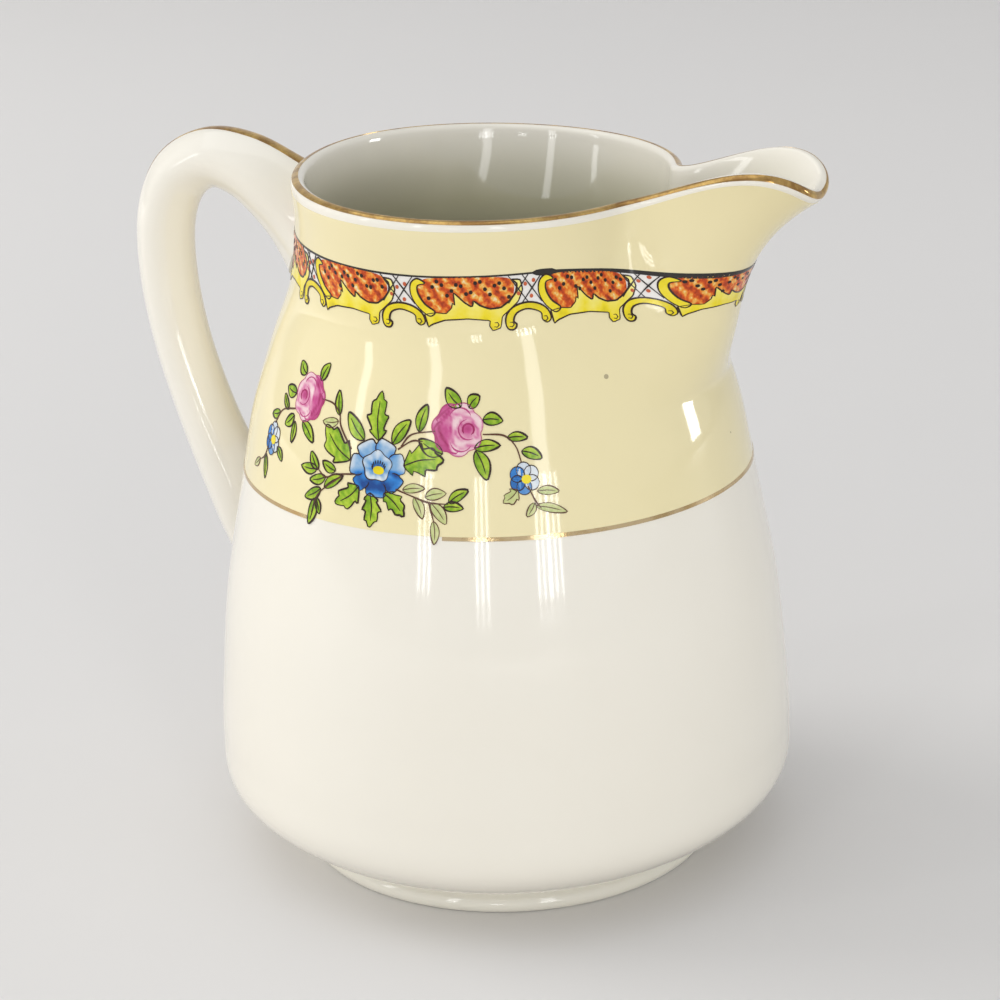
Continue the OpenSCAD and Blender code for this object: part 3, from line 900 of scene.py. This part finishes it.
def draw_spray(angle, side, node):
    spray = Spray(angle, 67.3)
    for path in STEMS:
        spray.add_stem(path)
    for base, tip, width, lobes, faint in LEAVES:
        spray.add_leaf(base, tip, width, lobes, bool(faint))
    spray.add_rose(11.5, 5.5, 3.35, 1.1, 1)
    spray.add_rose(-14.3, 6.9, 3.2, 1.05, -1)
    spray.add_blue_flower(0, -0.1, 3.85, 1.13)
    spray.add_small_flower(20.6, -0.8, 2.0)
    spray.add_small_flower(-21.6, -0.2, 2.2, 0.9)
    return spray.pieces(side, node)


draw_spray(-93.4, "front", "front_spray")
draw_spray(86.6, "back", "back_spray")

# %% [markdown]
# ## The printed border
# The border repeats eleven times round the neck. One repeat is a mottled orange panel held between two
# yellow scrolls over an acanthus leaf, then a lattice of crossed lines with red dots over an arch. Each
# stretch is placed by its own angle, so the repeats bend round the neck and into the lip.

# %% Border repeats
REPEATS = 11


def draw_border():
    for k in range(REPEATS):
        angle = -72.7 + 360 / REPEATS * k
        for each in (panels, scrolls, inks, lattice, dots):
            each.angle = angle
        panel = closed_path([(-5.4, 7.1), (-2.5, 7.4), (1.5, 7.4), (5.2, 7.1), (6.0, 5.6), (5.2, 3.4),
                             (3.0, 2.7), (1.2, 2.9), (0.0, 2.6), (-1.6, 2.3), (-3.6, 2.2), (-5.4, 3.4),
                             (-6.2, 5.6)])
        panels.fill(panel, lambda p: 0.5 + 0.28 * np.sin(3.1 * p[:, 0] + 2.2 * p[:, 1]), grain=0.6)
        leaf = [(-5.6, 2.2), (-4.2, 2.5), (-2.8, 2.4), (-2.0, 3.2), (-1.9, 4.0), (-1.6, 3.5), (-1.7, 5.4),
                (-0.3, 3.9), (0.6, 3.3), (0.8, 4.2), (1.6, 3.5), (2.8, 3.0), (4.2, 3.1), (5.3, 3.9),
                (6.2, 5.0), (6.4, 6.3), (5.6, 6.9), (6.8, 6.8), (7.1, 5.4), (6.5, 3.8), (5.2, 2.6),
                (4.4, 1.9), (4.2, 0.4), (3.2, 0.0), (2.7, 0.7), (2.9, 1.4), (0.0, 1.7), (-3.0, 1.5),
                (-4.6, 0.9), (-5.2, 0.5)]
        leaf = closed_edge(leaf, 0.35)
        scrolls.fill(leaf, lambda p: 0.3 + 0.12 * (p[:, 1] + np.sin(2 * p[:, 0])),
                     lift=PAINT + 0.02, grain=0.7)
        inks.stroke(np.vstack([leaf, leaf[:1]]), 0.2, (0.8, 0.8), wobble=0.3)
        hook = closed_path([(-5.2, 6.6), (-6.2, 7.2), (-7.1, 6.4), (-7.2, 4.8), (-6.4, 3.2), (-5.0, 2.0),
                            (-4.2, 2.6), (-5.4, 3.6), (-6.2, 5.0), (-6.2, 6.2)])
        scrolls.fill(hook, 0.45, lift=PAINT + 0.02, grain=0.6)
        inks.stroke(np.vstack([hook, hook[:1]]), 0.2, (0.8, 0.8), wobble=0.3)
        arch = closed_path([(-11.6, 0.8), (-11.5, 2.0), (-10.6, 3.1), (-8.9, 3.6), (-7.2, 3.3),
                            (-6.0, 2.4), (-5.6, 1.2), (-6.2, 0.7), (-6.8, 1.2), (-6.9, 2.0), (-7.8, 2.5),
                            (-9.0, 2.7), (-10.2, 2.2), (-10.6, 1.2), (-10.2, 0.7), (-10.5, 0.1),
                            (-11.2, 0.1)])
        scrolls.fill(arch, 0.4, lift=PAINT + 0.02, grain=0.6)
        inks.stroke(np.vstack([arch, arch[:1]]), 0.22, (0.8, 0.8), wobble=0.3)
        for x, y in ((-10.9, 0.75), (-6.4, 1.25), (3.6, 0.8)):
            curl = [(x + 0.35 * math.cos(g), y + 0.35 * math.sin(g)) for g in np.linspace(-2.4, 2.2, 7)]
            inks.stroke(curl, 0.16, (0.5, 0.5))
        for x, slant in ((-9.9, 1), (-8.1, 1), (-9.9, -1), (-8.1, -1)):
            lattice.stroke([(x - 1.3 * slant, 3.6), (x + 1.3 * slant, 7.4)], 0.16, (0.8, 0.8), wobble=0.2)
        for i in range(18):
            x = -4.9 + 0.6 * i
            y = 4.5 + 2.2 * abs(math.sin(2.4 * i + k)) + 0.2 * math.sin(7 * i)
            spot = closed_path([(x + 0.26 * math.cos(g), y + 0.3 * math.sin(g))
                                for g in (0, 1.2, 2.5, 3.8, 5.1)], 0.2)
            inks.fill(spot, 0.2, lift=INK, grain=0.4)
        for x, y in ((-9.0, 5.9), (-9.9, 4.6), (-8.2, 4.4), (-7.9, 6.6)):
            y += 0.3 * math.sin(5 * k + x)
            spot = closed_path([(x + 0.24 * math.cos(g), y + 0.3 * math.sin(g))
                                for g in (0, 1.2, 2.5, 3.8, 5.1)], 0.2)
            dots.fill(spot, 0.5, lift=INK, grain=0.4)


panels, scrolls, inks, lattice, dots = (Print(0, BORDER_Z, 28.8) for _ in range(5))
draw_border()
panels.piece("border_orange_panels", orange, "border_enamel")
scrolls.piece("border_yellow_scrolls", yellow, "border_enamel")
inks.piece("border_outlines", outline_ink, "border_enamel")
lattice.piece("border_lattice", black_ink, "border_enamel")
dots.piece("border_red_dots", red_ink, "border_enamel")

# %% [markdown]
# ## Table, light and camera
# A pale table rises into a plain backdrop with no corner, so nothing but soft light shows in the glaze.
# Gloss is only as good as what it reflects: tall narrow lights stand in for the panes of a window and
# draw the long upright highlights down the belly.

# %% Table and backdrop
VIEW_TURN = 24.0


def pale(name, colour):
    f = Finish(name)
    f.set(Base_Color=f.mix(f.noise(6.0), colour, tuple(c * 0.985 for c in colour)), Roughness=0.75)
    return f.material


def sweep():
    """A floor that curves up into a wall behind the jug."""
    profile = [(-1.6, 0), (0.9, 0)]
    for g in np.linspace(0, math.pi / 2, 14)[1:]:
        profile.append((0.9 + 0.5 * math.sin(g), 0.5 - 0.5 * math.cos(g)))
    profile += [(1.4, 2.6)]
    turn = math.radians(VIEW_TURN)
    points = [(x * math.cos(turn) - y * math.sin(turn), x * math.sin(turn) + y * math.cos(turn), z)
              for y, z in profile for x in (-2.4, 2.4)]
    faces = [(2 * i, 2 * i + 1, 2 * i + 3, 2 * i + 2) for i in range(len(profile) - 1)]
    mesh = bpy.data.meshes.new("table_and_backdrop")
    mesh.from_pydata(points, [], faces)
    mesh.polygons.foreach_set("use_smooth", [True] * len(faces))
    mesh.materials.append(pale("pale_cloth", (0.72, 0.705, 0.69)))
    made = bpy.data.objects.new("table_and_backdrop", mesh)
    bpy.context.scene.collection.objects.link(made)


sweep()

# %% [markdown]
# ## Lights
# Glaze shows its room, so the light is as much about reflections as brightness. A soft panel hangs
# overhead, and a large one at the left models the form but is hidden from gloss, where it would burn a
# white patch. Narrow panes and bars add little light and draw the tall window streaks. A low panel, also
# hidden from gloss, lifts the foot. One lamp would be simpler, but gives hard shadows and a single spot.

# %% Lights
TARGET = Vector((0, 0, 0.05116))


def from_camera(side, back, up):
    """A place given to the right of, towards and above the jug, as the camera sees it."""
    turn = math.radians(VIEW_TURN)
    c, s = math.cos(turn), math.sin(turn)
    return Vector((side * c + back * s, side * s - back * c, up))


def area_light(name, place, width, height, power, colour=(1, 1, 1)):
    data = bpy.data.lights.new(name, "AREA")
    data.shape = "RECTANGLE"
    data.size, data.size_y, data.energy, data.color = width, height, power, colour
    lamp = bpy.data.objects.new(name, data)
    lamp.location = place
    lamp.rotation_mode = "QUATERNION"
    lamp.rotation_quaternion = (TARGET - place).to_track_quat("-Z", "Y")
    bpy.context.scene.collection.objects.link(lamp)
    return lamp


area_light("overhead_soft", from_camera(-0.3, -0.1, 1.4), 1.2, 1.2, 3.0)
key = area_light("left_window", from_camera(-1.2, -0.4, 0.5), 0.9, 0.9, 9.5, (1.0, 0.985, 0.96))
low_fill = area_light("low_front_fill", from_camera(0.1, 0.7, 0.14), 0.4, 0.25, 0.8)
key.visible_glossy = low_fill.visible_glossy = False
area_light("far_left_pane", from_camera(-1.12, 0.42, 0.5), 0.1, 0.6, 0.7)
area_light("left_pane", from_camera(-0.62, 1.03, 0.5), 0.12, 0.6, 0.8)
area_light("front_pane", from_camera(0.39, 1.13, 0.45), 0.14, 0.6, 0.9)
area_light("right_pane", from_camera(1.17, -0.2, 0.15), 0.15, 0.2, 1.1)
for group in (-32, -8, 17, 22):
    for bar in (-2.2, 0, 2.2):
        bearing = math.radians(group + bar)
        place = from_camera(1.2 * math.sin(bearing), 1.2 * math.cos(bearing), 0.15)
        area_light(f"window_bar_{group}_{bar}", place, 0.018, 0.17, 0.09)
world = bpy.data.worlds.new("room")
bpy.context.scene.world = world
world.use_nodes = True
world.node_tree.nodes["Background"].inputs["Color"].default_value = (0.95, 0.97, 1.0, 1)
world.node_tree.nodes["Background"].inputs["Strength"].default_value = 0.68
bpy.context.scene.view_settings.view_transform = "Standard"

# %% [markdown]
# ## Camera
# The camera looks down at the side of the jug, turned a little towards the lip, with a slight roll. Its
# axes are worked out from three angles, because a tracking constraint would keep the horizon level.

# %% Camera
ELEVATION, DISTANCE, ROLL, FOCAL = 19.57, 0.3625, -1.79, 2.481
turn, tilt, roll = (math.radians(v) for v in (VIEW_TURN, ELEVATION, ROLL))
back = Vector((math.sin(turn) * math.cos(tilt), -math.cos(turn) * math.cos(tilt), math.sin(tilt)))
right = Vector((math.cos(turn), math.sin(turn), 0))
above = back.cross(right)
level, upright = right, above
right = level * math.cos(roll) + upright * math.sin(roll)
above = upright * math.cos(roll) - level * math.sin(roll)
camera = bpy.data.objects.new("camera", bpy.data.cameras.new("camera"))
camera.data.sensor_width = 36
camera.data.lens = 36 * FOCAL
place = TARGET + back * DISTANCE
camera.matrix_world = Matrix([(right.x, above.x, back.x, place.x), (right.y, above.y, back.y, place.y),
                              (right.z, above.z, back.z, place.z), (0, 0, 0, 1)])
camera.data.clip_start = 0.01
bpy.context.scene.collection.objects.link(camera)
bpy.context.scene.camera = camera
print("camera", round(DISTANCE, 3), "m away, lens", round(camera.data.lens, 1), "mm")
